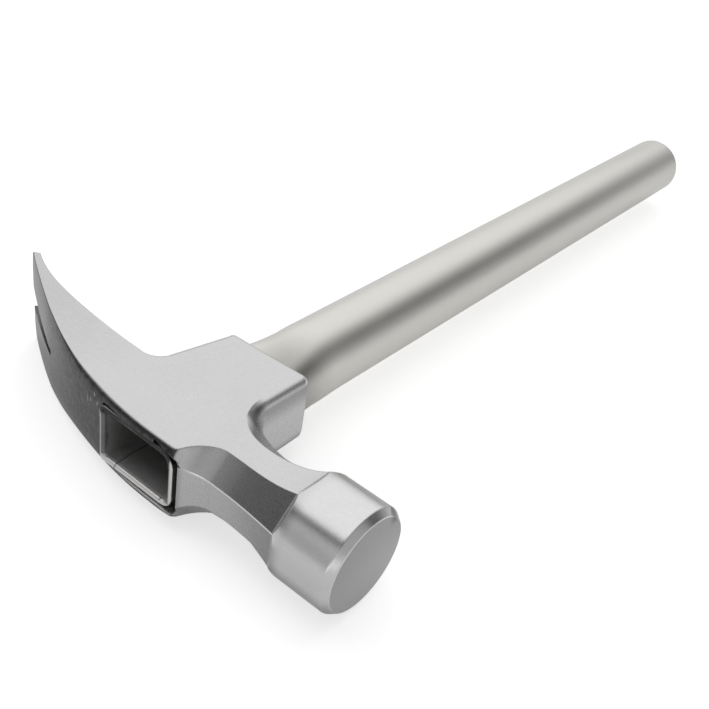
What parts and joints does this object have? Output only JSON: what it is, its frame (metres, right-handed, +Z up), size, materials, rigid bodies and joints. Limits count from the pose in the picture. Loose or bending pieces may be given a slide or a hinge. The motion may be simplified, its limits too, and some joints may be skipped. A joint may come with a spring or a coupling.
{
  "type": "straight claw hammer",
  "caption": "Straight claw hammer: a forged steel head with a split nail claw and a round poll, on a bare steel tube handle that is pressed to shape inside the eye.",
  "frame": {"origin": "Middle of the hammer's footprint as it lies on its side, on the surface that it lies on", "axes": "+X along the head from the claws to the striking face, +Y along the handle from the crown to the butt, +Z up out of the upper cheek"},
  "size_m": [0.131, 0.2908, 0.0291],
  "materials": {
    "head_steel": "fine blasted satin steel, ground on the poll and face",
    "handle_steel": "satin nickel-plated steel tube with a faint warm tint",
    "plug_steel": "plain pressed steel, darker and a little rough"
  },
  "bodies": {
    "root": {"head": "head_steel", "handle_tube": "handle_steel", "butt_plug": "plug_steel"}
  },
  "joints": []
}
